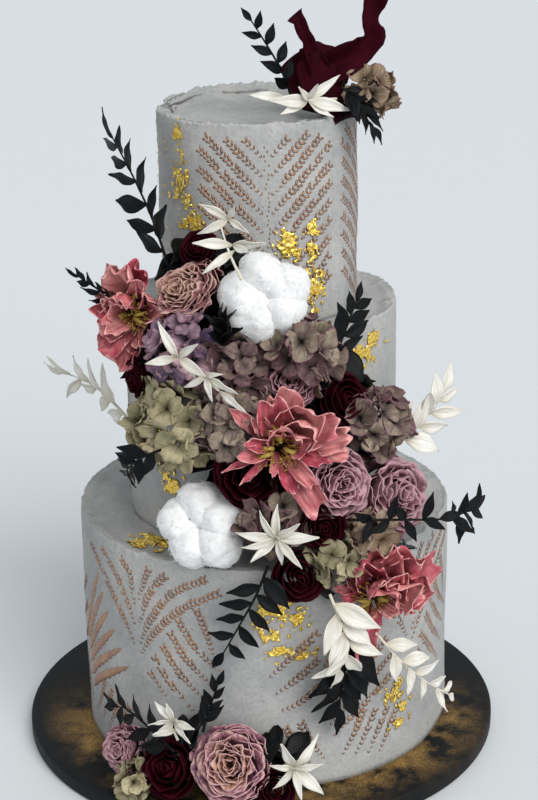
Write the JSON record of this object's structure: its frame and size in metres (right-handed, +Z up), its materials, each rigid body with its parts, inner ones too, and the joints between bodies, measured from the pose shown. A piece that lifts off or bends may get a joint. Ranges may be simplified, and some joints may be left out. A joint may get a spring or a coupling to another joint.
{
  "type": "tiered wedding cake",
  "caption": "Tall round wedding cake in grey icing on a dark round board, with a cascade of dried flowers, cotton and ruscus down its front and a rose on top.",
  "frame": {"origin": "centre of the board's underside, on the surface that the cake stands on", "axes": "+Z up, -Y to the front, where the flowers cascade, +X to the right seen from the front"},
  "size_m": [0.275, 0.2839, 0.4372],
  "materials": {
    "board": "charcoal stain with gold dust",
    "icing": "matte concrete-grey buttercream",
    "cotton": "fluffy",
    "coral_petals": "soft crinkled petals",
    "burgundy_petals": "velvety",
    "rosewood_petals": "dried petals",
    "mauve_petals": "dried petals",
    "sage_petals": "dried florets",
    "heather_petals": "dried florets",
    "black_leaves": "waxy",
    "bleached_leaves": "papery"
  },
  "bodies": {
    "root": {"cake_board": "board", "cotton_high": "cotton", "cotton_low": "cotton", "hydrangea_blush": "heather_petals", "hydrangea_dusk": "heather_petals", "hydrangea_edge": "sage_petals", "hydrangea_foot": "sage_petals", "hydrangea_heather": "heather_petals", "hydrangea_low": "heather_petals", "hydrangea_moss": "sage_petals", "hydrangea_plum": "heather_petals", "hydrangea_right": "heather_petals", "hydrangea_sage": "sage_petals", "hydrangea_topper": "sage_petals", "peony_centre": "coral_petals", "peony_left": "coral_petals", "peony_right": "coral_petals", "rose_burgundy_edge": "burgundy_petals", "rose_burgundy_foot": "burgundy_petals", "rose_burgundy_heart": "burgundy_petals", "rose_burgundy_high": "burgundy_petals", "rose_burgundy_left": "burgundy_petals", "rose_burgundy_low": "burgundy_petals", "rose_burgundy_right": "burgundy_petals", "rose_burgundy_toe": "burgundy_petals", "rose_dusty": "rosewood_petals", "rose_foot": "mauve_petals", "rose_mauve_foot": "mauve_petals", "rose_mauve_inner": "mauve_petals", "rose_mauve_outer": "mauve_petals", "rose_small": "rosewood_petals", "rose_topper": "burgundy_petals", "ruscus_black_crown": "black_leaves", "ruscus_black_drop": "black_leaves", "ruscus_black_foot": "black_leaves", "ruscus_black_hang": "black_leaves", "ruscus_black_left": "black_leaves", "ruscus_black_mid": "black_leaves", "ruscus_black_right": "black_leaves", "ruscus_black_spike": "black_leaves", "ruscus_black_tall": "black_leaves", "ruscus_black_toe": "black_leaves", "ruscus_black_top": "black_leaves", "ruscus_black_wing": "black_leaves", "ruscus_white_far": "bleached_leaves", "ruscus_white_foot": "bleached_leaves", "ruscus_white_hang": "bleached_leaves", "ruscus_white_high": "bleached_leaves", "ruscus_white_left": "bleached_leaves", "ruscus_white_right": "bleached_leaves", "ruscus_white_star": "bleached_leaves", "ruscus_white_toe": "bleached_leaves", "ruscus_white_top": "bleached_leaves", "ruscus_white_trail": "bleached_leaves", "tier_bottom": "icing", "tier_middle": "icing", "tier_top": "icing"}
  },
  "joints": []
}
